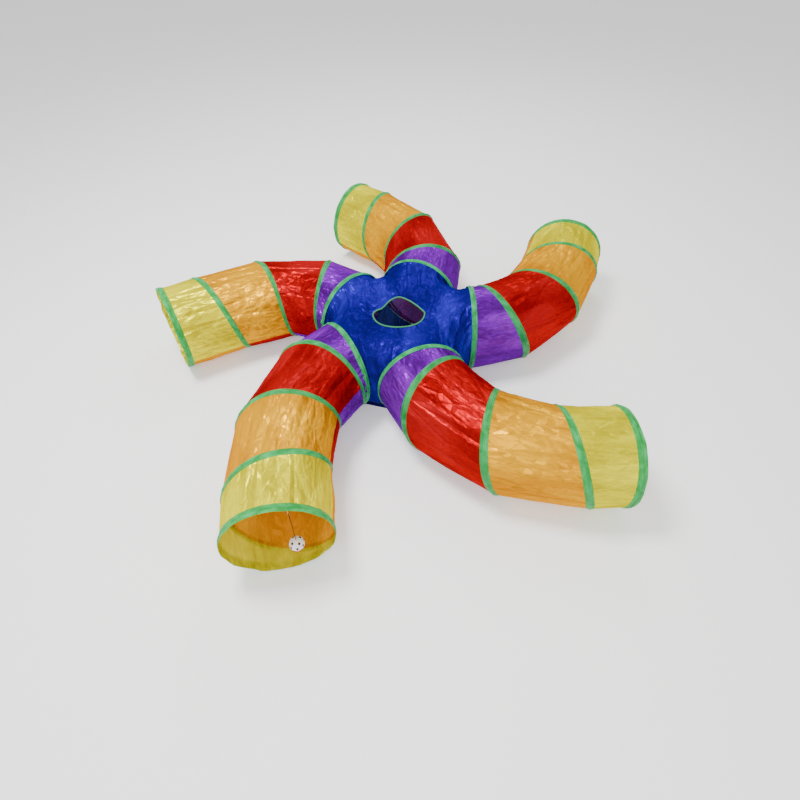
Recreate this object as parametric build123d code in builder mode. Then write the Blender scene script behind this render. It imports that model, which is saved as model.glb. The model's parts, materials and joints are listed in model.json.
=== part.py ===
from build123d import *

import os
from collections import namedtuple
from math import asin, atan2, cos, degrees, radians, sin, sqrt

# Five-way play tunnel for small pets: five curved arms, each a fabric tube held open by a sprung wire
# coil, round a fabric hub with a peephole in its roof. A bell ball hangs in one arm's mouth.
# Millimetres and degrees. The origin is on the floor under the hub's middle, +Z is up, and -Y is the
# side that the ball's arm opens towards.

os.makedirs("parts", exist_ok=True)

# Driving dimensions
tunnel_diameter = 248.0  # outside of the fabric
arm_length = 605.0  # along the middle of an arm, from hub hoop to mouth
coil_turns = 3.2  # of one arm's wire, from mouth to hub
fabric = 0.8
wire_diameter = 1.5
layer_gap = 0.3  # between fabric, wire and the tape over it
tape = 0.8
mouth_tape_width = 20.0
hub_tape_width = 12.0
hub_tape_overlap = 2.0  # of the hub tape over the hub's own fabric; the rest is over the arm's
tape_lip = 5.0  # of the mouth tape, turned over the fabric's edge
lip_gap = 0.8  # between the fabric's edge and the lip that is turned over it
seam_gap = 0.3  # between panels

peephole_diameter = 146.0
peephole_middle = (-15.0, -15.0)
peephole_height = 225.0
piping = 4.0  # round the peephole, seen in section as a square

ball_diameter = 35.0
ball_wall = 1.2
ball_height = 100.0
ball_offset = 37.0  # sideways from the mouth's middle, towards the inside of the arm's bend
ball_hole_diameter = 6.0
ball_hole_rings = ((17.0, 7), (51.0, 4))  # latitude and number of holes, on each half
cord_diameter = 1.2
bell_diameter = 12.0

# Each arm: bearing and distance of its hub hoop from the origin, how far its heading is turned from
# that bearing, the bend of its purple, red, orange and yellow panels, and where round the mouth its
# coil leaves the hoop, clockwise from the top as seen by a pet going in.
Arm = namedtuple("Arm", "name bearing distance turn bends coil_start")
arms = [
    Arm("front_left_arm", -143.0, 207.0, -3.0, (27.0, 28.5, 8.0, 4.0), 80.0),
    Arm("front_right_arm", -76.0, 194.0, 4.0, (18.5, 31.5, 22.5, 4.0), 65.0),
    Arm("back_right_arm", 10.0, 197.0, -9.0, (28.5, 27.5, 13.0, 4.0), 60.0),
    Arm("back_left_arm", 77.0, 204.0, -8.0, (20.5, 35.0, 17.0, 4.0), 115.0),
    Arm("left_arm", 144.0, 195.0, -8.0, (28.0, 42.0, 3.0, 2.0), 118.0),
]
colours = ("purple", "red", "orange", "yellow")

# Radii of the layers of an arm, and its middle's height with the tape resting on the floor
fabric_outer = tunnel_diameter / 2
fabric_inner = fabric_outer - fabric
tape_inner = fabric_outer + layer_gap
wire_circle = tape_inner + wire_diameter / 2
tape_outer = wire_circle + wire_diameter / 2 + tape
middle_height = tape_outer

# A coil turn advances by one pitch, and each colour lasts for one turn, so the yellow panel is half a
# pitch long on average, the red and the orange are one pitch, and the purple is the rest.
coil_pitch = arm_length / coil_turns
panel_lengths = (arm_length - 2.5 * coil_pitch, coil_pitch, coil_pitch, coil_pitch / 2)


def direction(angle):
    """Level unit vector at this angle from +X."""
    return Vector(cos(radians(angle)), sin(radians(angle)), 0)


def arm_plane(arm, distance):
    """Plane across an arm at this distance from its hub hoop, and the centre of the arm's bend there.

    The plane's z runs outwards along the arm, its x points to the inside of the bend, and its y is up.
    """
    point = arm.distance * direction(arm.bearing) + Vector(0, 0, middle_height)
    heading = arm.bearing + arm.turn
    start = 0
    for index, (length, bend) in enumerate(zip(panel_lengths, arm.bends)):
        radius = length / radians(bend)
        centre = point + radius * direction(heading + 90)
        last = index == len(arm.bends) - 1
        if distance < start + length or last:
            angle = heading + degrees((distance - start) / radius)
            here = centre - radius * direction(angle + 90)
            return Plane(here, x_dir=direction(angle + 90), z_dir=direction(angle)), centre
        heading += bend
        point = centre - radius * direction(heading + 90)
        start += length


def save(part, label):
    """Label a finished piece and write it."""
    part.label = label
    export_step(part, f"parts/{label}.step")


# Arms
def fabric_panel(arm, start, end):
    """Length of an arm's fabric tube, bent as the arm is."""
    plane, centre = arm_plane(arm, start)
    radius = (centre - plane.origin).length
    with BuildPart() as panel:
        with BuildSketch(plane):
            Circle(fabric_outer)
            Circle(fabric_inner, mode=Mode.SUBTRACT)
        revolve(axis=Axis(centre, (0, 0, 1)), revolution_arc=degrees((end - start) / radius))
    return panel.part


def coil_first_distance(arm):
    """Where the coil comes out from under the hub's tape, which is straight where the arm is bent."""
    bend_radius = panel_lengths[0] / radians(arm.bends[0])
    reach = hub_tape_width - hub_tape_overlap + wire_diameter
    return bend_radius * asin(reach / (bend_radius - tape_outer))


def coil_point(arm, distance):
    """Middle of the coil's wire at this distance from the hub hoop."""
    clock = radians(arm.coil_start + 360 * (arm_length - distance) / coil_pitch)
    plane, _ = arm_plane(arm, distance)
    return plane.from_local_coords(Vector(wire_circle * sin(clock), wire_circle * cos(clock), 0))


def coil_wire(arm, start, end):
    """Length of an arm's wire coil, as arcs that follow one another smoothly."""
    arcs = round((end - start) / coil_pitch * 20)
    step = (end - start) / arcs
    nudge = step / 100
    with BuildPart() as coil:
        with BuildLine() as path:
            heading = coil_point(arm, start + nudge) - coil_point(arm, start - nudge)
            here = coil_point(arm, start)
            first_plane = Plane(here, z_dir=heading)
            for index in range(arcs):
                there = coil_point(arm, start + (index + 1) * step)
                arc = TangentArc(here, there, tangent=heading)
                heading = arc % 1
                here = there
        with BuildSketch(first_plane):
            Circle(wire_diameter / 2)
        sweep()
    return coil.part


def hoop(plane):
    """Closed ring of wire across an arm, in this plane."""
    with BuildPart(plane) as ring:
        Torus(wire_circle, wire_diameter / 2)
    return ring.part


def tape_ring(plane, width):
    """Tape round a hoop, with a groove on its inside for the wire."""
    groove = wire_diameter / 2 + 0.05
    with BuildPart(plane) as ring:
        Cylinder(tape_outer, width)
        Cylinder(tape_inner, width, mode=Mode.SUBTRACT)
        Torus(wire_circle, groove, mode=Mode.SUBTRACT)
        Cylinder(wire_circle, 2 * groove, mode=Mode.SUBTRACT)
    return ring.part


mouth_hoop_distance = arm_length - mouth_tape_width / 2
lip_inner = fabric_inner - 0.2
tab_width = 8.0
tab_height = 7.6
tab_thickness = 0.6
tab_hole_diameter = 3.0
tab_rim = 1.0  # below the hole, so low that the ring can swing past it
tab_root = 1.7  # height of the tab that is sewn into the lip
tab_inset = 5.5  # from the tab's middle to the mouth
tab_top = sqrt(lip_inner**2 - ball_offset**2) + tab_root
eye_height = tab_top - tab_height + tab_rim + tab_hole_diameter / 2

for arm in arms:
    start = 0
    for number, (colour, length) in enumerate(zip(colours, panel_lengths), 1):
        end = start + length
        is_last = colour == colours[-1]
        panel_end = arm_length - tape_lip - lip_gap if is_last else end - seam_gap
        wire_start = start if start else coil_first_distance(arm)
        wire_end = arm_length - mouth_tape_width - wire_diameter if is_last else end
        save(fabric_panel(arm, start, panel_end), f"{arm.name}_{colour}_panel")
        wire = coil_wire(arm, wire_start + wire_diameter, wire_end - wire_diameter)
        save(wire, f"{arm.name}_coil_{number}")
        start = end

    mouth_plane, _ = arm_plane(arm, mouth_hoop_distance)
    save(hoop(mouth_plane), f"{arm.name}_mouth_hoop")

    with BuildPart() as mouth_tape:
        add(tape_ring(mouth_plane, mouth_tape_width))
        with BuildSketch(mouth_plane.offset(mouth_tape_width / 2)):
            Circle(tape_outer)
            Circle(lip_inner, mode=Mode.SUBTRACT)
        extrude(amount=-tape_lip)
        if arm is arms[0]:
            # Tab with an eye, from which the ball hangs
            tab_plane = mouth_plane.offset(mouth_tape_width / 2 - tab_inset + tab_thickness / 2)
            with BuildSketch(tab_plane):
                with Locations((ball_offset, tab_top - tab_height / 2)):
                    Rectangle(tab_width, tab_height)
                with Locations((ball_offset, eye_height)):
                    Circle(tab_hole_diameter / 2, mode=Mode.SUBTRACT)
            extrude(amount=-tab_thickness)
    save(mouth_tape.part, f"{arm.name}_mouth_tape")


# Hub
hub_planes = [arm_plane(arm, 0)[0] for arm in arms]
hub_hoop_planes = [plane.offset(hub_tape_width / 2 - hub_tape_overlap) for plane in hub_planes]
with BuildPart() as hub_hoops:
    for plane in hub_hoop_planes:
        add(hoop(plane))
save(hub_hoops.part, "hub_hoops")

with BuildPart() as hub_tapes:
    for plane in hub_hoop_planes:
        add(tape_ring(plane, hub_tape_width))
save(hub_tapes.part, "hub_tapes")

hub_base_thickness = 1.2
hub_top = 2 * middle_height - 1.2
hub_base_reach = 40.0  # half the width of the base's edge at each hoop
dish_slope_gap = 1.0  # height of the roof's fabric where it slopes


def hub_outline(level_angle, inset=0.0):
    """Corners of the hub's outline at one level: both ends of each hoop's chord there.

    The level is given by its angle round a hoop, from 0 at the floor to 180 at the top.
    """
    half_chord = (middle_height - hub_base_thickness) * sin(radians(level_angle)) - inset / 3
    corners = []
    for plane in hub_planes:
        for side in (-1, 1):
            corner = plane.from_local_coords(Vector(side * half_chord, 0, -inset))
            corners.append((corner.X, corner.Y))
    return corners


def hub_section(corners, height):
    """Flat section of the hub with these corners."""
    with BuildSketch(Plane.XY.offset(height)) as section:
        with BuildLine():
            Polyline(*corners, close=True)
        make_face()
    return section.sketch


level_angles = (10, 30, 50, 70, 90, 110, 130, 150, 170)
hole_radius = peephole_diameter / 2 + piping
dish_floor_radius = hole_radius + 7.0


def hub_block(inset, bottom, top):
    """Closed block in the hub's outline, from bottom to top."""
    with BuildPart() as block:
        for angle in level_angles:
            height = middle_height - (middle_height - hub_base_thickness) * cos(radians(angle))
            if angle == level_angles[0]:
                height = bottom
            if angle == level_angles[-1]:
                height = top
            add(hub_section(hub_outline(angle, inset), height))
        loft(ruled=True)
    return block.part


def roof_dish(floor_height):
    """Block over the roof, which sags from the hoops' tops to the peephole."""
    rim = hub_outline(level_angles[-1], inset=3.0)
    floor = []
    for x, y in rim:
        angle = atan2(y - peephole_middle[1], x - peephole_middle[0])
        floor.append(
            (
                peephole_middle[0] + dish_floor_radius * cos(angle),
                peephole_middle[1] + dish_floor_radius * sin(angle),
            )
        )
    rim_height = floor_height + hub_top - peephole_height
    with BuildPart() as dish:
        add(hub_section(floor, floor_height))
        add(hub_section(rim, rim_height))
        loft(ruled=True)
    return dish.part


with BuildPart() as hub_hollow:
    add(hub_block(fabric, 0.2, hub_top - dish_slope_gap))
    add(roof_dish(peephole_height - dish_slope_gap), mode=Mode.SUBTRACT)
    with BuildSketch(Plane.XY.offset(peephole_height - dish_slope_gap)):
        with Locations(peephole_middle):
            Circle(hole_radius + 1.0)
    extrude(amount=40.0, mode=Mode.SUBTRACT)

with BuildPart() as hub_canopy:
    add(hub_block(0.0, hub_base_thickness, hub_top))
    add(roof_dish(peephole_height), mode=Mode.SUBTRACT)
    add(hub_hollow.part, mode=Mode.SUBTRACT)
    for plane in hub_planes:
        with BuildSketch(plane.offset(-hub_tape_overlap)):
            Rectangle(2.2 * tape_outer, 2.2 * tape_outer)
        extrude(amount=hub_tape_width, mode=Mode.SUBTRACT)
    with BuildSketch(Plane.XY.offset(peephole_height - 10.0)):
        with Locations(peephole_middle):
            Circle(hole_radius)
    extrude(amount=40.0, mode=Mode.SUBTRACT)
save(hub_canopy.part, "hub_canopy")

base_corners = []
for plane in hub_planes:
    for side in (-1, 1):
        corner = plane.from_local_coords(Vector(side * hub_base_reach, 0, -hub_tape_overlap))
        base_corners.append((corner.X, corner.Y))
with BuildPart() as hub_base:
    add(hub_section(base_corners, 0))
    extrude(amount=hub_base_thickness)
save(hub_base.part, "hub_base")

with BuildPart() as peephole_piping:
    with BuildSketch(Plane.XY.offset(peephole_height - piping / 2)):
        with Locations(peephole_middle):
            Circle(hole_radius)
            Circle(hole_radius - piping, mode=Mode.SUBTRACT)
    extrude(amount=piping)
save(peephole_piping.part, "peephole_piping")


# Ball on its cord
ring_radius = 5.0
ring_wire = 1.0
cord_loop_radius = 1.6
knot_radius = 1.8
knot_gap = 0.5  # between the knot and the ball's shell
cord_gap = 0.1  # round the cord, where it goes through the ball's shell
bell_slot = 1.5
ball_arm_plane, _ = arm_plane(arms[0], mouth_hoop_distance)
eye = ball_arm_plane.offset(mouth_tape_width / 2 - tab_inset).from_local_coords(
    Vector(ball_offset, eye_height, 0)
)
along = ball_arm_plane.z_dir
across = ball_arm_plane.x_dir
ring_bottom = eye.Z - 2 * ring_radius
ball_middle = Vector(eye.X, eye.Y, ball_height)

with BuildPart(Plane(eye - Vector(0, 0, ring_radius), x_dir=along, z_dir=across)) as toy_ring:
    Torus(ring_radius, ring_wire / 2)
save(toy_ring.part, "toy_ring")

cord_top = ring_bottom - cord_loop_radius
cord_bottom = ball_height + ball_diameter / 2 - ball_wall - knot_radius - knot_gap
loop_plane = Plane((eye.X, eye.Y, ring_bottom), x_dir=across, z_dir=along)
with BuildPart(loop_plane) as toy_cord:
    Torus(cord_loop_radius, cord_diameter / 2)
    with BuildSketch(Plane.XY.offset(cord_bottom)):
        with Locations((eye.X, eye.Y)):
            Circle(cord_diameter / 2)
    extrude(amount=cord_top - cord_bottom)
    with BuildSketch(Plane.XY.offset(cord_bottom)):
        with Locations((eye.X, eye.Y)):
            Circle(knot_radius)
    extrude(amount=knot_radius)
save(toy_cord.part, "toy_cord")


def ball_half(side):
    """Upper (side 1) or lower (side -1) half of the ball's perforated shell."""
    equator = Plane(ball_middle)
    with BuildPart(equator) as half:
        Sphere(ball_diameter / 2)
        Sphere(ball_diameter / 2 - ball_wall, mode=Mode.SUBTRACT)
        with BuildSketch(equator):
            Circle(ball_diameter)
        extrude(amount=-side * ball_diameter, mode=Mode.SUBTRACT)
        for latitude, count in ball_hole_rings:
            for index in range(count):
                bearing = 360 * (index + (side > 0) / 2) / count
                up = Vector(0, 0, side * sin(radians(latitude)))
                outwards = cos(radians(latitude)) * direction(bearing) + up
                with BuildSketch(Plane(ball_middle, z_dir=outwards)):
                    Circle(ball_hole_diameter / 2)
                extrude(amount=ball_diameter, mode=Mode.SUBTRACT)
        with BuildSketch(equator):
            Circle(cord_diameter / 2 + cord_gap)
        extrude(amount=side * ball_diameter, mode=Mode.SUBTRACT)
    return half.part


save(ball_half(1), "toy_ball_upper")
save(ball_half(-1), "toy_ball_lower")

bell_height = ball_height - ball_diameter / 2 + ball_wall + bell_diameter / 2
with BuildPart(Plane((eye.X, eye.Y, bell_height))) as toy_bell:
    Sphere(bell_diameter / 2)
    slot_place = (Align.CENTER, Align.CENTER, Align.MAX)
    Box(bell_diameter, bell_slot, bell_diameter / 2, align=slot_place, mode=Mode.SUBTRACT)
save(toy_bell.part, "toy_bell")
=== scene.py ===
import json
import math

import bmesh
import bpy
import numpy as np
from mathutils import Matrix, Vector, noise

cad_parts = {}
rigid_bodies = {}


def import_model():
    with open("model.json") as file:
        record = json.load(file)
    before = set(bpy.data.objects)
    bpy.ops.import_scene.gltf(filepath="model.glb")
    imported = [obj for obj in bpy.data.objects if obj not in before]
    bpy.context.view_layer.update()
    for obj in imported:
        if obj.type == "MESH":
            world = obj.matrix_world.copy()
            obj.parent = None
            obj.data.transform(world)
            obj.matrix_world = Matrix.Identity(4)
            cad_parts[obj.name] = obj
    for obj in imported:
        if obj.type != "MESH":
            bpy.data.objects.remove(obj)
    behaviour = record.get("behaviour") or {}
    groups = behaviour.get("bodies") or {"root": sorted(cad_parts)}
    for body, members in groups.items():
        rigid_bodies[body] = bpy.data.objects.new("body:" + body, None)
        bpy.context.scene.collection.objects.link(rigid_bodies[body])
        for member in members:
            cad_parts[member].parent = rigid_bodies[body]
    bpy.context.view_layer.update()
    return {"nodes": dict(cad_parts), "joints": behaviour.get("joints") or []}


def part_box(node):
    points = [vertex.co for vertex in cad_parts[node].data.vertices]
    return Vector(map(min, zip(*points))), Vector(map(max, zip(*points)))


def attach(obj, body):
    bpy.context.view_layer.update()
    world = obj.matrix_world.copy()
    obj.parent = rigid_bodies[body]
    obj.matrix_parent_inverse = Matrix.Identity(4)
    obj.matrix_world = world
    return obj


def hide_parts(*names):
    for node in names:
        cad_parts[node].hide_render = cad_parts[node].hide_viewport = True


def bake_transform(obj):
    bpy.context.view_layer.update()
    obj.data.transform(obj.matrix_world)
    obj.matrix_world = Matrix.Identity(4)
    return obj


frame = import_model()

# Five-way play tunnel. Metres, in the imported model's frame: the origin is on the floor under the hub,
# and +Z is up. The arms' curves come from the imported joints, whose axes are the panels' bend centres.

# Driving sizes of the cloth
ARM_LENGTH = 0.605
COIL_TURNS = 3.2
FABRIC_RADIUS = 0.124
HOOP_INSET = 0.010
WIRE_RADIUS = 0.00075
WIRE_CIRCLE = FABRIC_RADIUS + 0.0003 + WIRE_RADIUS
COIL_TAPE_WIDTH = 0.018
HUB_TAPE_WIDTH = 0.015
HUB_HOOP_PLACE = 0.004  # along the arm, past the start of its cloth
TAPE_THICKNESS = 0.0006
CELL = 0.0033
FLOOR_GAP = 0.0003

PITCH = ARM_LENGTH / COIL_TURNS
GIRTH = 2 * math.pi * FABRIC_RADIUS
PANELS = (ARM_LENGTH - 2.5 * PITCH, PITCH, PITCH, PITCH / 2)
STATIONS = np.array((0.0, *np.cumsum(PANELS)))
COLOURS = ("purple", "red", "orange", "yellow")

# How deep each colour's cloth is creased lengthwise and crushed
STREAKS = np.array((0.5, 1.0, 0.6, 0.6))
CRUSHING = np.array((1.0, 0.75, 0.55, 0.45))

# Where round the mouth each arm's coil leaves the hoop, in degrees clockwise from the top
COIL_STARTS = {
    "front_left_arm": 80.0,
    "front_right_arm": 65.0,
    "back_right_arm": 60.0,
    "back_left_arm": 115.0,
    "left_arm": 118.0,
}

JOINTS = {joint["name"]: joint for joint in frame["joints"]}


def link(name, data):
    obj = bpy.data.objects.new(name, data)
    bpy.context.scene.collection.objects.link(obj)
    return obj


def middle_of(name):
    low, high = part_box(name)
    return np.array((low + high) / 2)


# Camera
def make_camera():
    """Camera in front of the tunnel and well above it."""
    target = Vector((-0.01154, -0.14853, 0.0))
    distance = 1.63499
    elevation = math.radians(47.396)
    data = bpy.data.cameras.new("camera")
    data.lens = 24.586
    camera = link("camera", data)
    camera.location = target + distance * Vector((0, -math.cos(elevation), math.sin(elevation)))
    camera.rotation_euler = (math.pi / 2 - elevation, 0, 0)
    bpy.context.scene.camera = camera


# Materials
def new_material(name):
    material = bpy.data.materials.new(name)
    material.use_nodes = True
    tree = material.node_tree
    return material, tree, tree.nodes["Principled BSDF"]


def add(tree, kind, inputs=None, **settings):
    """New shader node with these settings and input values."""
    made = tree.nodes.new(kind)
    for key, value in settings.items():
        setattr(made, key, value)
    for key, value in (inputs or {}).items():
        made.inputs[key].default_value = value
    return made


def texture(tree, kind, source, stretch, inputs, **settings):
    """New texture node, read from source's coordinates times stretch."""
    mapping = add(tree, "ShaderNodeMapping", {"Scale": stretch})
    tree.links.new(source, mapping.inputs["Vector"])
    made = add(tree, kind, inputs, **settings)
    tree.links.new(mapping.outputs["Vector"], made.inputs["Vector"])
    return made


def ramp(tree, factor, stops):
    """Colour ramp with (position, colour) stops."""
    made = add(tree, "ShaderNodeValToRGB")
    elements = made.color_ramp.elements
    while len(elements) < len(stops):
        elements.new(0.5)
    for element, (position, colour) in zip(elements, stops):
        element.position = position
        element.color = (*colour, 1)
    tree.links.new(factor, made.inputs["Fac"])
    return made.outputs["Color"]


def spread(tree, factor, low, high, socket):
    """Value between low and high, by factor, on this socket."""
    made = add(tree, "ShaderNodeMapRange", {"To Min": low, "To Max": high})
    tree.links.new(factor, made.inputs["Value"])
    tree.links.new(made.outputs["Result"], socket)


def bumps(tree, layers):
    """Normal of several bump layers, each (height, distance in metres, strength)."""
    normal = None
    for height, distance, strength in layers:
        bump = add(tree, "ShaderNodeBump", {"Distance": distance, "Strength": strength})
        tree.links.new(height, bump.inputs["Height"])
        if normal is not None:
            tree.links.new(normal, bump.inputs["Normal"])
        normal = bump.outputs["Normal"]
    return normal


def creased(tree, value, folds):
    """Smooth texture value folded to and fro this many times, which leaves sharp creases."""
    more = add(tree, "ShaderNodeMath", {1: folds}, operation="MULTIPLY")
    folded = add(tree, "ShaderNodeMath", {1: 0.5}, operation="PINGPONG")
    tree.links.new(value, more.inputs[0])
    tree.links.new(more.outputs["Value"], folded.inputs[0])
    return folded.outputs["Value"]


def polyester(name, dark, base, light, shine, through, streak, crush, grain=1.0):
    """Thin satin polyester: a fine weave, lengthwise and crushed creases, and light through the cloth."""
    material, tree, shader = new_material(name)
    cloth = add(tree, "ShaderNodeUVMap", uv_map="cloth").outputs["UV"]
    long_creases = texture(
        tree, "ShaderNodeTexVoronoi", cloth, (1, 0.17, 1), {"Scale": 24.0 * grain}, feature="DISTANCE_TO_EDGE"
    ).outputs["Distance"]
    crushed = texture(
        tree, "ShaderNodeTexVoronoi", cloth, (1, 0.5, 1), {"Scale": 48.0 * grain}, feature="DISTANCE_TO_EDGE"
    ).outputs["Distance"]
    patches = texture(
        tree, "ShaderNodeTexNoise", cloth, (1, 0.4, 1),
        {"Scale": 16.0 * grain, "Detail": 1.0, "Roughness": 0.5, "Distortion": 0.4},
    ).outputs["Fac"]
    folded = creased(tree, patches, 4.0)
    fine = texture(
        tree, "ShaderNodeTexNoise", cloth, (1, 0.6, 1),
        {"Scale": 150.0, "Detail": 2.0, "Roughness": 0.5, "Distortion": 0.8},
    ).outputs["Fac"]
    weave = add(tree, "ShaderNodeMath", operation="MULTIPLY")
    for number, direction in enumerate(("X", "Y")):
        thread = texture(
            tree, "ShaderNodeTexWave", cloth, (1, 1, 1),
            {"Scale": 350.0, "Distortion": 0.3}, bands_direction=direction,
        )
        tree.links.new(thread.outputs["Fac"], weave.inputs[number])

    # Painted shade and painted highlight: the ramp's dark and light stops are shaded and lit copies of the dye,
    # spread at random by noise
    shade_and_highlight_mix = add(tree, "ShaderNodeMix", {0: 0.75})
    tree.links.new(fine, shade_and_highlight_mix.inputs[2])
    tree.links.new(patches, shade_and_highlight_mix.inputs[3])
    colour = ramp(tree, shade_and_highlight_mix.outputs[0], [(0.38, dark), (0.50, base), (0.62, light)])
    tree.links.new(colour, shader.inputs["Base Color"])
    spread(tree, fine, 0.24, 0.38, shader.inputs["Roughness"])
    shader.inputs["Metallic"].default_value = 0.4
    shader.inputs["Specular IOR Level"].default_value = 0.0
    shader.inputs["Specular Tint"].default_value = (*shine, 1)

    normal = bumps(tree, [
        (long_creases, 0.0190 / grain, streak),
        (crushed, 0.0095 / grain, crush),
        (folded, 0.0080 / grain, 0.35),
        (fine, 0.0004, 0.15),
        (weave.outputs["Value"], 0.0001, 0.25),
    ])
    tree.links.new(normal, shader.inputs["Normal"])
    inner = add(tree, "ShaderNodeBsdfTranslucent", {"Color": (*shine, 1)})
    tree.links.new(normal, inner.inputs["Normal"])
    mix = add(tree, "ShaderNodeMixShader", {"Fac": through})
    tree.links.new(shader.outputs["BSDF"], mix.inputs[1])
    tree.links.new(inner.outputs["BSDF"], mix.inputs[2])
    tree.links.new(mix.outputs["Shader"], tree.nodes["Material Output"].inputs["Surface"])
    return material


def tape_material(name, dark, base, light):
    """Woven binding tape: fine ribs along it, a satin face and small puckers."""
    material, tree, shader = new_material(name)
    cloth = add(tree, "ShaderNodeUVMap", uv_map="cloth").outputs["UV"]
    ribs = texture(
        tree, "ShaderNodeTexWave", cloth, (0.1, 1, 1),
        {"Scale": 150.0, "Distortion": 1.2, "Detail": 2.0}, bands_direction="Y",
    ).outputs["Fac"]
    threads = texture(
        tree, "ShaderNodeTexWave", cloth, (1, 1, 1),
        {"Scale": 260.0, "Distortion": 0.4}, bands_direction="X",
    ).outputs["Fac"]
    patches = texture(
        tree, "ShaderNodeTexNoise", cloth, (0.6, 1, 1),
        {"Scale": 55.0, "Detail": 3.0, "Roughness": 0.6, "Distortion": 0.6},
    ).outputs["Fac"]
    # Painted shade and painted highlight: the ramp's dark and light stops are shaded and lit copies of the tape's
    # green, spread at random by noise
    shade_and_highlight_mix = add(tree, "ShaderNodeMix", {0: 0.3})
    tree.links.new(patches, shade_and_highlight_mix.inputs[2])
    tree.links.new(ribs, shade_and_highlight_mix.inputs[3])
    colour = ramp(tree, shade_and_highlight_mix.outputs[0], [(0.3, dark), (0.52, base), (0.75, light)])
    tree.links.new(colour, shader.inputs["Base Color"])
    spread(tree, patches, 0.32, 0.5, shader.inputs["Roughness"])
    shader.inputs["Specular Tint"].default_value = (*light, 1)
    shader.inputs["Specular IOR Level"].default_value = 0.2
    normal = bumps(tree, [(patches, 0.0024, 0.5), (ribs, 0.0005, 0.6), (threads, 0.0002, 0.3)])
    tree.links.new(normal, shader.inputs["Normal"])
    inner = add(tree, "ShaderNodeBsdfTranslucent", {"Color": (0.35, 0.9, 0.4, 1)})
    mix = add(tree, "ShaderNodeMixShader", {"Fac": 0.3})
    tree.links.new(shader.outputs["BSDF"], mix.inputs[1])
    tree.links.new(inner.outputs["BSDF"], mix.inputs[2])
    tree.links.new(mix.outputs["Shader"], tree.nodes["Material Output"].inputs["Surface"])
    return material


def hard_material(name, low, high, rough, metallic, grain, depth):
    """Metal or moulded plastic, mottled between two colours and two roughnesses."""
    material, tree, shader = new_material(name)
    place = add(tree, "ShaderNodeTexCoord").outputs["Object"]
    mottle = texture(
        tree, "ShaderNodeTexNoise", place, (1, 1, 1),
        {"Scale": grain, "Detail": 4.0, "Roughness": 0.6},
    ).outputs["Fac"]
    tree.links.new(ramp(tree, mottle, [(0.35, low), (0.65, high)]), shader.inputs["Base Color"])
    spread(tree, mottle, rough * 0.75, rough * 1.35, shader.inputs["Roughness"])
    shader.inputs["Metallic"].default_value = metallic
    tree.links.new(bumps(tree, [(mottle, depth, 0.35)]), shader.inputs["Normal"])
    return material


def twist_material(name, dark, light):
    """Twisted cord."""
    material, tree, shader = new_material(name)
    place = add(tree, "ShaderNodeTexCoord").outputs["Object"]
    twist = texture(
        tree, "ShaderNodeTexWave", place, (0.7, 0.7, 1),
        {"Scale": 420.0, "Distortion": 0.6}, bands_direction="DIAGONAL",
    ).outputs["Fac"]
    tree.links.new(ramp(tree, twist, [(0.2, dark), (0.8, light)]), shader.inputs["Base Color"])
    shader.inputs["Roughness"].default_value = 0.65
    shader.inputs["Specular IOR Level"].default_value = 0.1
    tree.links.new(bumps(tree, [(twist, 0.0003, 0.6)]), shader.inputs["Normal"])
    return material


# Toy cord
def make_toy_cord(material):
    """Thin cord from the toy's ring down into the ball."""
    radius = 0.0008
    ring_low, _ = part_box("toy_ring")
    cord_low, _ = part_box("toy_cord")
    x, y, _ = middle_of("toy_ring")
    top = ring_low.z + radius
    bottom = cord_low.z
    line = bpy.data.curves.new("toy_string", "CURVE")
    line.dimensions = "3D"
    line.bevel_depth = radius
    line.bevel_resolution = 3
    spline = line.splines.new("NURBS")
    heights = np.linspace(top, bottom, 3)
    spline.points.add(len(heights) - 1)
    for point, z in zip(spline.points, heights):
        point.co = (x, y, z, 1.0)
    spline.order_u = 3
    spline.use_endpoint_u = True
    line.materials.append(material)
    string = link("toy_string", line)
    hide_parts("toy_cord")
    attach(string, "toy_ball")


# Smooth random values
class Field:
    """Smooth random values over a plane, which repeat every `around` cells across."""

    def __init__(self, seed, around, along=64):
        self.values = np.random.RandomState(seed).uniform(-1, 1, (along, around))

    def __call__(self, across, along):
        rows, columns = self.values.shape
        x = np.floor(across).astype(int)
        y = np.floor(along).astype(int)
        u = across - x
        v = along - y
        u = u * u * (3 - 2 * u)
        v = v * v * (3 - 2 * v)
        near = self.values[y % rows, x % columns] * (1 - u) + self.values[y % rows, (x + 1) % columns] * u
        y = y + 1
        far = self.values[y % rows, x % columns] * (1 - u) + self.values[y % rows, (x + 1) % columns] * u
        return near * (1 - v) + far * v


def ridged(value):
    """Sharp crests with rounded hollows between, from a smooth random value."""
    return 1 - 2 * np.abs(value)


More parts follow.
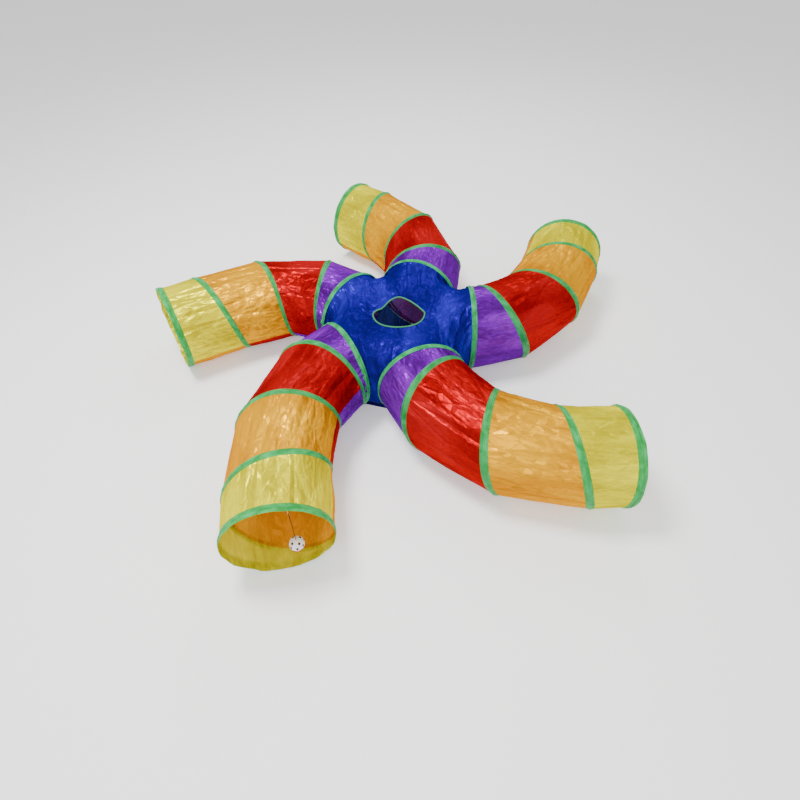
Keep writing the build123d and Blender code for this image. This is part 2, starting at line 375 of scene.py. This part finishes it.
# Arms
class Arm:
    """One arm's middle line, made of arcs, and the cloth round it.

    A place on the cloth is its clock angle, clockwise from the top as seen looking into the mouth, and
    its inset, the distance from the mouth. The bend's inside is at 90 degrees.
    """

    def __init__(self, name, seed):
        self.name = name
        self.coil_start = math.radians(COIL_STARTS[name])
        here = middle_of(f"{name}_mouth_hoop")
        pivots = [np.array(JOINTS[f"{name}_{colour}_collapse"]["pos_m"]) for colour in COLOURS]
        self.pivots = np.array([(p[0], p[1], here[2]) for p in pivots])
        self.radii = np.zeros(len(PANELS))
        self.headings = np.zeros(len(PANELS))
        distance = ARM_LENGTH - HOOP_INSET
        for index in reversed(range(len(PANELS))):
            inwards = self.pivots[index] - here
            radius = np.linalg.norm(inwards)
            heading = math.atan2(-inwards[0], inwards[1]) - (distance - STATIONS[index]) / radius
            self.radii[index] = radius
            self.headings[index] = heading
            here = self.pivots[index] + radius * np.array([math.sin(heading), -math.cos(heading), 0])
            distance = STATIONS[index]
        self.folds = Field(seed, 30)
        self.crush = Field(seed + 1, 60)
        self.small = Field(seed + 2, 120)
        self.slant = Field(seed + 3, 12)
        self.dents = Field(seed + 4, 8)

    def middle(self, inset, index=None):
        """Point on the middle line, and the directions onwards and to the inside of the bend."""
        distance = ARM_LENGTH - np.asarray(inset, float)
        if index is None:
            index = np.searchsorted(STATIONS[1:-1], distance, side="right")
        heading = self.headings[index] + (distance - STATIONS[index]) / self.radii[index]
        level = np.zeros_like(heading)
        onwards = np.stack([np.cos(heading), np.sin(heading), level], -1)
        inwards = np.stack([-np.sin(heading), np.cos(heading), level], -1)
        radius = np.asarray(self.radii[index])[..., None]
        return self.pivots[index] - radius * inwards, onwards, inwards

    def outwards(self, clock, inset):
        """Direction away from the middle line."""
        _, _, inwards = self.middle(inset)
        up = np.array([0, 0, 1.0])
        return np.sin(clock)[..., None] * inwards + np.cos(clock)[..., None] * up

    def ring(self, clock, inset, radius):
        """Point at this radius from the middle line."""
        point, _, inwards = self.middle(inset)
        up = np.array([0, 0, 1.0])
        return point + radius * (np.sin(clock)[..., None] * inwards + np.cos(clock)[..., None] * up)

    def surface(self, clock, inset):
        """Outer face of the cloth: stretched straight between the coil's turns, then creased."""
        turn = (clock - self.coil_start) / (2 * math.pi)
        number = np.floor(inset / PITCH - turn + 1e-9)
        low = np.clip((turn + number) * PITCH, 0, ARM_LENGTH)
        high = np.clip((turn + number + 1) * PITCH, 0, ARM_LENGTH)
        span = np.maximum(high - low, 1e-6)
        part = np.clip((inset - low) / span, 0, 1)[..., None]
        taut = self.ring(clock, low, FABRIC_RADIUS) * (1 - part)
        taut = taut + self.ring(clock, high, FABRIC_RADIUS) * part
        full = self.ring(clock, inset, FABRIC_RADIUS)
        point = 0.86 * taut + 0.14 * full

        # Nothing moves beside a wire; between wires the slack grows towards the inside of the bend
        free = np.sin(math.pi * part[..., 0]) * np.clip(span / PITCH, 0, 1)
        edge = np.clip(np.minimum(inset - low, high - inset) / 0.012, 0, 1)
        slack = 0.4 + 0.6 * (0.5 + 0.5 * np.sin(clock))
        round_ = clock / (2 * math.pi)
        skew = self.slant(round_ * 12, inset / 0.07)
        folds = ridged(self.folds(round_ * 30 + 1.3 * skew, inset / 0.13))
        crush = ridged(self.crush(round_ * 60 + 1.5 * skew, inset / 0.022 + 0.8 * skew))
        small = ridged(self.small(round_ * 120 + 2.0 * skew, inset / 0.012 + 1.5 * skew))
        dents = self.dents(round_ * 8, inset / 0.10)
        shade = len(COLOURS) - 2 - np.clip(number.astype(int), -1, len(COLOURS) - 2)
        push = free * (0.0022 * STREAKS[shade] * slack * folds + 0.0026 * dents)
        push += edge * slack * CRUSHING[shade] * (0.0013 * crush + 0.0005 * small) * (0.35 + 0.65 * free)
        push -= 0.0040 * free * np.clip(np.cos(clock), 0, 1)
        push *= np.clip(np.abs(inset - HOOP_INSET) / 0.012, 0, 1)

        # The free edge at the mouth is wavy, most of all underneath
        rim = np.exp(-((inset / 0.006) ** 2)) * (0.65 - 0.35 * np.cos(clock))
        push += 0.0022 * rim * self.folds(round_ * 30, 7.5)
        ahead = 0.0042 * rim * self.folds(round_ * 30, 21.5)
        _, onwards, _ = self.middle(inset)
        return point + push[..., None] * self.outwards(clock, inset) + ahead[..., None] * onwards

    def normals(self, clock, inset):
        """Outward normals of the cloth."""
        step = 0.0012
        turn = step / FABRIC_RADIUS
        later = np.minimum(clock + turn, self.coil_start + 2 * math.pi)
        earlier = np.maximum(clock - turn, self.coil_start)
        around = self.surface(later, inset) - self.surface(earlier, inset)
        deeper = np.clip(inset + step, 0, ARM_LENGTH)
        nearer = np.clip(inset - step, 0, ARM_LENGTH)
        along = self.surface(clock, deeper) - self.surface(clock, nearer)
        normal = np.cross(along, around)
        normal /= np.maximum(np.linalg.norm(normal, axis=-1, keepdims=True), 1e-12)
        facing = (normal * self.outwards(clock, inset)).sum(-1, keepdims=True)
        return np.where(facing < 0, -normal, normal)


def flat_grid(low, high, columns, rows):
    """Flat mesh of quads from corner low to corner high."""
    flat = bmesh.new()
    bmesh.ops.create_grid(flat, x_segments=columns, y_segments=rows, size=0.5)
    for vertex in flat.verts:
        vertex.co.x = low[0] + (vertex.co.x + 0.5) * (high[0] - low[0])
        vertex.co.y = low[1] + (vertex.co.y + 0.5) * (high[1] - low[1])
    return flat


def cut(flat, point, normal):
    """Adds edges to a flat mesh where a line crosses it."""
    everything = flat.verts[:] + flat.edges[:] + flat.faces[:]
    bmesh.ops.bisect_plane(
        flat, geom=everything, dist=0.00002, plane_co=(*point, 0), plane_no=Vector((*normal, 0)).normalized()
    )


def read_flat(flat):
    """Vertices, faces and the faces' middles of a flat mesh, which is then freed."""
    flat.verts.index_update()
    points = np.array([vertex.co[:2] for vertex in flat.verts])
    faces = [[vertex.index for vertex in face.verts] for face in flat.faces]
    middles = np.array([face.calc_center_median()[:2] for face in flat.faces])
    flat.free()
    return points, faces, middles


def used_by(faces):
    """Numbers of the points that these faces use."""
    return sorted({corner for face in faces for corner in face})


def cloth_object(name, points, faces, cloth, material, normals=None):
    """Mesh from points and the faces that use them, with each point's place on the flat cloth."""
    points[:, 2] = np.maximum(points[:, 2], FLOOR_GAP)
    used = used_by(faces)
    order = {corner: number for number, corner in enumerate(used)}
    mesh = bpy.data.meshes.new(name)
    mesh.from_pydata(points[used].tolist(), [], [[order[corner] for corner in face] for face in faces])
    corners = np.empty(len(mesh.loops), np.int32)
    mesh.loops.foreach_get("vertex_index", corners)
    uv = mesh.uv_layers.new(name="cloth")
    uv.uv.foreach_set("vector", cloth[used][corners].astype(np.float32).ravel())
    mesh.shade_smooth()
    mesh.materials.append(material)
    if normals is not None:
        mesh.normals_split_custom_set_from_vertices(normals[used].tolist())
    obj = link(name, mesh)
    return obj


def bend_with(obj, arm, index):
    """Bake a piece of this panel into its world place; the ends of the panel's middle line are found but not
    used.
    """
    first = arm.middle(ARM_LENGTH - STATIONS[index], index)[0]
    last = arm.middle(ARM_LENGTH - STATIONS[index + 1], index)[0]
    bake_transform(obj)


def panel_of(insets):
    """Number of the panel at each inset, counted from the hub."""
    return np.searchsorted(STATIONS[1:-1], ARM_LENGTH - insets, side="right")


def make_cloth(arm, materials):
    """An arm's cloth in its four colours, cut where each joint's panel ends."""
    flat = flat_grid((0, 0), (GIRTH, ARM_LENGTH), round(GIRTH / CELL), round(ARM_LENGTH / CELL))
    for number in range(3):
        cut(flat, (0, number * PITCH), (-PITCH, GIRTH))
    for station in STATIONS[1:-1]:
        cut(flat, (0, ARM_LENGTH - station), (0, 1))
    cloth, faces, middles = read_flat(flat)
    clock = arm.coil_start + cloth[:, 0] / FABRIC_RADIUS
    points = arm.surface(clock, cloth[:, 1])
    normals = arm.normals(clock, cloth[:, 1])
    panels = panel_of(middles[:, 1])
    turns = np.floor(middles[:, 1] / PITCH - middles[:, 0] / GIRTH).astype(int) + 1
    shades = len(COLOURS) - 1 - np.clip(turns, 0, len(COLOURS) - 1)
    for index, length in enumerate(PANELS):
        for shade, colour in enumerate(COLOURS):
            chosen = [face for face, p, s in zip(faces, panels, shades) if p == index and s == shade]
            if not chosen:
                continue
            name = f"{arm.name}_{colour}_cloth_{index + 1}"
            obj = cloth_object(
                name, points, chosen, cloth, materials[colour], normals
            )
            if shade == index:
                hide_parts(f"{arm.name}_{colour}_panel")
            bend_with(obj, arm, index)


def tape_height(share):
    """Height of a tape's face over the cloth: its edges turn down, and it goes over the wire."""
    face = TAPE_THICKNESS * np.clip((1 - np.abs(share)) / 0.08, 0, 1)
    return face + (2 * WIRE_RADIUS + 0.0003) * np.exp(-((share / 0.19) ** 2))


def make_coil_tape(arm, material):
    """Tape sewn over an arm's coil, cut where each joint's panel ends."""
    start = 0.35 * COIL_TAPE_WIDTH
    half = COIL_TAPE_WIDTH / 2
    low = start / PITCH * GIRTH
    high = COIL_TURNS * GIRTH
    flat = flat_grid((low, -1), (high, 1), round((high - low) / CELL), 18)
    for station in STATIONS[1:-1]:
        cut(flat, ((ARM_LENGTH - station) / PITCH * GIRTH, 0), (PITCH / GIRTH, half))
    strip, faces, middles = read_flat(flat)
    turns = strip[:, 0] / GIRTH
    clock = arm.coil_start + 2 * math.pi * (turns - np.floor(turns))
    inset = np.clip(turns * PITCH + strip[:, 1] * half, 0, ARM_LENGTH)
    pucker = 0.0005 * arm.small(strip[:, 0] / 0.009, strip[:, 1] * 1.3 + 9) * (1 - np.abs(strip[:, 1]))
    height = tape_height(strip[:, 1]) + pucker
    points = arm.surface(clock, inset) + height[:, None] * arm.outwards(clock, inset)
    cloth = np.stack([strip[:, 0], strip[:, 1] * half], -1)
    panels = panel_of(middles[:, 0] / GIRTH * PITCH + middles[:, 1] * half)
    for index in range(len(PANELS)):
        chosen = [face for face, panel in zip(faces, panels) if panel == index]
        name = f"{arm.name}_coil_tape_{index + 1}"
        obj = cloth_object(name, points, chosen, cloth, material)
        bend_with(obj, arm, index)


def make_mouth_tape(arm, material):
    """Tape over the mouth's hoop, from the cloth's edge inwards."""
    profile = np.array([
        (0.0003, 0.0001), (0.0004, 0.0008), (0.0010, 0.0014), (0.0030, 0.0013), (0.0065, 0.0013),
        (0.0083, 0.0016), (0.0092, 0.0025),
        (0.0100, 0.0029), (0.0108, 0.0025), (0.0117, 0.0016), (0.0140, 0.0011), (0.0180, 0.0011),
        (0.0198, 0.0008), (0.0201, 0.0001),
    ])
    lengths = np.concatenate([[0], np.cumsum(np.linalg.norm(np.diff(profile, axis=0), axis=1))])
    flat = flat_grid((0, 0), (GIRTH, 1), round(GIRTH / CELL), len(profile) - 1)
    strip, faces, _ = read_flat(flat)
    row = np.rint(strip[:, 1] * (len(profile) - 1)).astype(int)
    clock = arm.coil_start + strip[:, 0] / FABRIC_RADIUS
    inset, lift = profile[row].T
    pucker = 0.0007 * arm.small(strip[:, 0] / 0.0065, row * 0.25 + 30) * (lift > 0.0005)
    points = arm.surface(clock, inset) + (lift + pucker)[:, None] * arm.outwards(clock, inset)
    cloth = np.stack([strip[:, 0], lengths[row]], -1)
    obj = cloth_object(f"{arm.name}_mouth_binding", points, faces, cloth, material)
    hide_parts(f"{arm.name}_mouth_tape")
    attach(obj, f"{arm.name}_mouth")


def make_tab(material):
    """Small tab with an eye, inside the top of the mouth, from which the toy's ring hangs."""
    joint = JOINTS["toy_swing_in_and_out"]
    eye = np.array(joint["pos_m"])
    across = np.array(joint["axis"])
    up = np.array((0, 0, 1.0))
    along = np.cross(across, up)
    angles = np.linspace(0, 2 * math.pi, 48, endpoint=False)
    place = np.stack([np.cos(angles), np.sin(angles)], -1)
    ends = np.where(place[:, 1] > 0, 0.0045, 0.0025)
    outline = place / np.maximum(np.abs(place[:, 0]) / 0.004, np.abs(place[:, 1]) / ends)[:, None]
    hole = 0.0015 * place
    flat = np.concatenate([hole, outline, outline, hole])
    depth = np.repeat((0.0003, 0.0003, -0.0003, -0.0003), len(angles))
    points = eye + flat[:, :1] * across + flat[:, 1:] * up + depth[:, None] * along
    faces = []
    for loop in range(4):
        for k in range(len(angles)):
            ahead = (k + 1) % len(angles)
            one = loop * len(angles)
            two = (loop + 1) % 4 * len(angles)
            faces.append([one + k, one + ahead, two + ahead, two + k])
    obj = cloth_object("toy_tab", points, faces, flat, material)
    obj.data.shade_flat()
    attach(obj, joint["parent"])


def make_hub_tape(arm, material):
    """Tape over an arm's hub hoop."""
    half = HUB_TAPE_WIDTH / 2
    flat = flat_grid((0, -1), (GIRTH, 1), round(GIRTH / CELL), 16)
    strip, faces, _ = read_flat(flat)
    clock = arm.coil_start + strip[:, 0] / FABRIC_RADIUS
    inset = np.full(len(strip), ARM_LENGTH)
    pucker = 0.0006 * arm.small(strip[:, 0] / 0.0065, strip[:, 1] * 1.3 + 20) * (1 - np.abs(strip[:, 1]))
    height = 0.0004 + tape_height(strip[:, 1]) + pucker
    _, onwards, _ = arm.middle(inset)
    points = arm.ring(clock, inset, FABRIC_RADIUS) + height[:, None] * arm.outwards(clock, inset)
    points += (HUB_HOOP_PLACE + strip[:, 1] * half)[:, None] * onwards
    cloth = np.stack([strip[:, 0], strip[:, 1] * half], -1)
    obj = cloth_object(f"{arm.name}_hub_tape", points, faces, cloth, material)
    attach(obj, "root")
    return obj


def tube(name, line, radius, sides, closed, material):
    """Round tube along a line of points."""
    ahead = np.roll(line, -1, 0) - np.roll(line, 1, 0) if closed else np.gradient(line, axis=0)
    ahead /= np.linalg.norm(ahead, axis=1, keepdims=True)
    side = np.cross(ahead[0], (0.1, 0.2, 1.0))
    angles = 2 * math.pi * np.arange(sides) / sides
    rings = []
    for point, direction in zip(line, ahead):
        side = side - direction * np.dot(side, direction)
        side /= np.linalg.norm(side)
        other = np.cross(direction, side)
        rings.append(point + radius * (np.outer(np.cos(angles), side) + np.outer(np.sin(angles), other)))
    work = bmesh.new()
    made = [[work.verts.new(p) for p in ring] for ring in rings]
    if closed:
        start = min(range(sides), key=lambda k: (made[-1][0].co - made[0][k].co).length)
        made.append(made[0][start:] + made[0][:start])
    for one, two in zip(made, made[1:]):
        for k in range(sides):
            work.faces.new((one[k], one[(k + 1) % sides], two[(k + 1) % sides], two[k]))
    if not closed:
        work.faces.new(made[0][::-1])
        work.faces.new(made[-1])
    bmesh.ops.recalc_face_normals(work, faces=work.faces[:])
    mesh = bpy.data.meshes.new(name)
    work.to_mesh(mesh)
    work.free()
    mesh.shade_smooth()
    mesh.materials.append(material)
    return link(name, mesh)


def make_coil_wire(arm, material):
    """Coil wire under the tape, cut where each joint's panel ends."""
    for index in range(len(PANELS)):
        near = max(ARM_LENGTH - STATIONS[index + 1], 0.012)
        far = min(ARM_LENGTH - STATIONS[index], ARM_LENGTH - 0.003)
        inset = np.linspace(near, far, max(6, round((far - near) / PITCH * 110)))
        clock = arm.coil_start + 2 * math.pi * inset / PITCH
        line = arm.ring(clock, inset, WIRE_CIRCLE)
        sides = 8
        obj = tube(f"{arm.name}_coil_wire_{index + 1}", line, WIRE_RADIUS, sides, False, material)
        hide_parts(f"{arm.name}_coil_{index + 1}")
        bend_with(obj, arm, index)


# Hub
def peephole_rim(angle):
    """Edge of the peephole, which the stretched cloth draws into a soft lens shape."""
    low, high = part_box("peephole_piping")
    middle = (low + high) / 2
    radius = (high.x - low.x) / 2 - 0.003
    wide = radius * math.cos(angle)
    if math.sin(angle) > 0:
        notch = 0.30 * math.sin(angle) * math.exp(-(((math.cos(angle) + 0.66) / 0.22) ** 2))
        deep = radius * 0.84 * (1 - abs(math.cos(angle)) ** 1.5 - notch)
    else:
        deep = radius * (0.88 + 0.08 * math.cos(angle) ** 2) * math.sin(angle)
    lift = 0.004 * math.sin(angle + 0.4) - 0.003 * math.cos(2 * angle)
    return np.array([middle.x + wide, middle.y + deep, middle.z + lift])


def make_hub_cover(arms, material):
    """Hub's cover: gores from the peephole over the roof and down between each two hoops."""
    roof_rows = 18
    side_rows = 34
    columns = 24
    behind = -0.002
    radius = FABRIC_RADIUS + 0.0004
    lowest = math.radians(172)

    def bearing(arm):
        return math.atan2(*arm.middle(ARM_LENGTH)[0][1::-1])

    def hoop(arm, clock):
        _, onwards, _ = arm.middle(ARM_LENGTH)
        return arm.ring(np.array(clock), np.array(ARM_LENGTH), radius) + behind * onwards

    order = sorted(arms, key=bearing)
    points = []
    pinned = []
    numbers = {}

    def corner(key, point, pin):
        if key not in numbers:
            numbers[key] = len(points)
            points.append(point)
            pinned.append(pin)
        return numbers[key]

    quads = []
    for sector, one in enumerate(order):
        following = (sector + 1) % len(order)
        two = order[following]
        first = bearing(one)
        turn = (bearing(two) - first) % (2 * math.pi)
        grid = []
        for row in range(roof_rows + side_rows + 1):
            line = []
            for column in range(columns + 1):
                share = column / columns
                ends = column in (0, columns)
                if row <= roof_rows:
                    reach = row / roof_rows
                    rim = peephole_rim(first + turn * share)
                    ridge = hoop(one, 0.0) * (1 - share) + hoop(two, 0.0) * share
                    point = rim * (1 - reach) + ridge * reach
                    pin = row == 0 or (row == roof_rows and ends)
                    key = ("seam", (sector, following)[column == columns], row) if ends else (sector, row, column)
                else:
                    clock = lowest * (row - roof_rows) / side_rows
                    point = hoop(one, clock) * (1 - share) + hoop(two, -clock) * share
                    pin = ends or row == roof_rows + side_rows
                    key = (sector, row, column)
                line.append(corner(key, point, pin))
            grid.append(line)
        for lower, upper in zip(grid, grid[1:]):
            for a, b, c, d in zip(lower, lower[1:], upper[1:], upper):
                quads.append((a, b, c, d))
    points = settle(np.array(points), np.array(pinned), quads)

    mesh = bpy.data.meshes.new("hub_cover")
    mesh.from_pydata(points.tolist(), [], quads)
    cover = link("hub_cover", mesh)
    fine = cover.modifiers.new("fine", "SUBSURF")
    fine.levels = 1
    fine.render_levels = 1
    bpy.context.view_layer.update()
    evaluated = cover.evaluated_get(bpy.context.evaluated_depsgraph_get())
    finer = bpy.data.meshes.new_from_object(evaluated)
    cover.modifiers.clear()
    cover.data = finer
    crumple(finer)
    finer.shade_smooth()
    finer.materials.clear()
    finer.materials.append(material)
    uv = finer.uv_layers.new(name="cloth")
    for loop, place in zip(finer.loops, uv.uv):
        x, y, z = finer.vertices[loop.vertex_index].co
        bearing_here = math.atan2(y, x)
        reach = math.hypot(x, y) + 0.25 - z
        place.vector = (reach * math.cos(bearing_here), reach * math.sin(bearing_here))
    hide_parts("hub_canopy")
    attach(cover, "root")


def settle(points, pinned, quads):
    """Pull a cloth tight between its pinned points, with a slight sag under its weight."""
    edges = np.array(sorted({tuple(sorted(pair)) for q in quads for pair in zip(q, q[1:] + q[:1])}))
    ends = np.concatenate([edges, edges[:, ::-1]])
    count = len(points)
    degree = np.bincount(ends[:, 0], minlength=count)
    free = ~pinned
    for _ in range(90):
        sums = [np.bincount(ends[:, 0], points[ends[:, 1], k], minlength=count) for k in range(3)]
        average = np.stack(sums, -1) / degree[:, None]
        average[:, 2] -= 0.00008
        points[free] = average[free]
    return points


def crumple(mesh):
    """Crush creases into the cloth, fading out at its free edges."""
    count = len(mesh.vertices)
    points = np.empty(count * 3)
    mesh.vertices.foreach_get("co", points)
    points = points.reshape(-1, 3)
    normals = np.empty(count * 3)
    mesh.vertex_normals.foreach_get("vector", normals)
    normals = normals.reshape(-1, 3)
    uses = {}
    for face in mesh.polygons:
        for key in face.edge_keys:
            uses[key] = uses.get(key, 0) + 1
    edge = np.zeros(count, bool)
    edge[list({v for key, faces in uses.items() if faces == 1 for v in key})] = True
    push = np.zeros(count)
    for number, point in enumerate(points):
        place = Vector(point)
        warp = noise.noise_vector(place * 22) * 0.016
        long_crease = 1 - 2 * abs(noise.noise((place + warp) * 30))
        short_crease = 1 - 2 * abs(noise.noise((place + warp) * 75 + Vector((7, 3, 5))))
        push[number] = 0.0026 * long_crease + 0.0008 * short_crease
    push[edge] = 0
    push[points[:, 2] < 0.006] *= 0.2
    moved = points + push[:, None] * normals
    moved[:, 2] = np.maximum(moved[:, 2], 0.0008)
    mesh.vertices.foreach_set("co", moved.ravel())
    mesh.update()


def make_piping(material):
    """Piping round the peephole."""
    angles = np.linspace(0, 2 * math.pi, 144, endpoint=False)
    line = np.array([peephole_rim(angle) for angle in angles])
    piping = tube("peephole_edge", line, 0.0022, 12, True, material)
    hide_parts("peephole_piping")
    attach(piping, "root")


# Nodes that keep their own shape
def paint(name, material):
    obj = frame["nodes"][name]
    obj.data.materials.clear()
    obj.data.materials.append(material)


def paint_ball(name, outside, inside):
    """Half of the ball: its outer face, and its inside, painted nearly black as painted shade, which shows
    through its holes.
    """
    paint(name, outside)
    obj = frame["nodes"][name]
    obj.data.materials.append(inside)
    low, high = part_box("toy_ball_upper")
    radius = (high.x - low.x) / 2
    middle = Vector(((low.x + high.x) / 2, (low.y + high.y) / 2, low.z))
    for face in obj.data.polygons:
        spot = obj.matrix_world @ face.center
        # Faces nearer the middle than the outer skin get the inside's painted shade
        face.material_index = int((spot - middle).length < radius - 0.0003)


# Floor and light
def make_stage():
    size = 6.0
    mesh = bpy.data.meshes.new("floor")
    mesh.from_pydata([(-size, -size, 0), (size, -size, 0), (size, size, 0), (-size, size, 0)], [], [(0, 1, 2, 3)])
    floor = link("floor", mesh)
    floor.location.z = -0.0004
    material, _, shader = new_material("pale_floor")
    shader.inputs["Base Color"].default_value = (0.92, 0.92, 0.92, 1)
    shader.inputs["Roughness"].default_value = 0.9
    shader.inputs["Emission Color"].default_value = (1, 1, 1, 1)
    shader.inputs["Emission Strength"].default_value = 0.35
    mesh.materials.append(material)
    world = bpy.data.worlds.new("studio")
    world.use_nodes = True
    world.node_tree.nodes["Background"].inputs["Color"].default_value = (1, 1, 1, 1)
    world.node_tree.nodes["Background"].inputs["Strength"].default_value = 0.7
    bpy.context.scene.world = world
    for name, place, width, power in (
        ("key_light", (-0.8, -0.1, 2.4), 0.7, 76.0),
        ("fill_light", (1.6, -1.6, 1.9), 1.6, 14.0),
        ("back_light", (0.4, 1.8, 2.2), 1.0, 22.0),
        ("front_light", (-0.5, -2.1, 1.7), 1.4, 30.0),
    ):
        data = bpy.data.lights.new(name, "AREA")
        data.size = width
        data.energy = power
        lamp = link(name, data)
        lamp.location = place
        lamp.rotation_euler = (-Vector(place)).to_track_quat("-Z", "Y").to_euler()


make_camera()
make_toy_cord(twist_material("toy_cord_twist", (0.02, 0.003, 0.001), (0.07, 0.009, 0.004)))

# Cloth colours: painted shade, base colour, painted highlight, then the tint of its reflections and of the light
# through it
blue = ((0.009, 0.0032, 0.12), (0.013, 0.0052, 0.18), (0.022, 0.015, 0.30), (0.15, 0.25, 1.0))
cloths = {
    "purple": polyester(
        "purple_polyester", (0.075, 0.0015, 0.18), (0.125, 0.003, 0.31), (0.21, 0.014, 0.47), (0.6, 0.25, 1.0),
        0.10, 0.6, 0.9, 1.1,
    ),
    "red": polyester(
        "red_polyester", (0.23, 0.0015, 0.003), (0.32, 0.0030, 0.005), (0.42, 0.008, 0.011), (1.0, 0.12, 0.10),
        0.10, 1.0, 0.45, 0.85,
    ),
    "orange": polyester(
        "orange_polyester", (0.58, 0.235, 0.0001), (0.70, 0.31, 0.0001), (0.80, 0.39, 0.0005), (1.0, 0.50, 0.001),
        0.18, 0.9, 0.6,
    ),
    "yellow": polyester(
        "yellow_polyester", (0.52, 0.46, 0.001), (0.64, 0.58, 0.002), (0.76, 0.70, 0.01), (0.95, 0.86, 0.02),
        0.18, 0.8, 0.5,
    ),
}
# Tape colours: painted shade, base colour, painted highlight
green = tape_material("green_binding_tape", (0.006, 0.16, 0.03), (0.018, 0.38, 0.085), (0.08, 0.68, 0.24))
pale_green = tape_material("piping_tape", (0.05, 0.25, 0.12), (0.16, 0.5, 0.24), (0.5, 0.75, 0.35))
steel = hard_material("spring_steel", (0.38, 0.39, 0.41), (0.58, 0.59, 0.61), 0.3, 1.0, 300.0, 0.0002)

arms = [Arm(name, 11 + 10 * number) for number, name in enumerate(COIL_STARTS)]
for number, arm in enumerate(arms):
    make_cloth(arm, cloths)
    make_coil_tape(arm, green)
    make_mouth_tape(arm, green)
    make_coil_wire(arm, steel)
    hub_tape = make_hub_tape(arm, green)
    if number == 0:
        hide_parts("hub_tapes")
    paint(f"{arm.name}_mouth_hoop", steel)
paint("hub_hoops", steel)
make_hub_cover(arms, polyester("blue_polyester", *blue, 0.08, 0.7, 0.6, 0.7))
make_tab(green)
make_piping(pale_green)
# The hub's floor is mottled between the blue cloth's painted-shade colour and its base colour
hub_floor = hard_material("hub_floor_cloth", blue[0], blue[1], 0.4, 0.0, 120.0, 0.002)
paint("hub_base", hub_floor)

ring_steel = hard_material("ring_steel", (0.45, 0.45, 0.47), (0.66, 0.66, 0.68), 0.2, 1.0, 500.0, 0.0001)
bell_brass = hard_material("bell_brass", (0.5, 0.38, 0.15), (0.74, 0.6, 0.3), 0.25, 1.0, 400.0, 0.0001)
paint("toy_ring", ring_steel)
paint("toy_bell", bell_brass)
# Painted shade: the hollow ball's inside is painted nearly black, for the little light that gets in
ball_inside = hard_material("ball_inside", (0.03, 0.012, 0.015), (0.07, 0.03, 0.035), 0.5, 0.0, 180.0, 0.0003)
ball_white = hard_material("ball_white", (0.80, 0.70, 0.74), (0.92, 0.85, 0.88), 0.3, 0.0, 180.0, 0.0003)
ball_pink = hard_material("ball_pink", (0.60, 0.008, 0.03), (0.80, 0.03, 0.08), 0.3, 0.0, 180.0, 0.0003)
paint_ball("toy_ball_upper", ball_white, ball_inside)
paint_ball("toy_ball_lower", ball_pink, ball_inside)
make_stage()
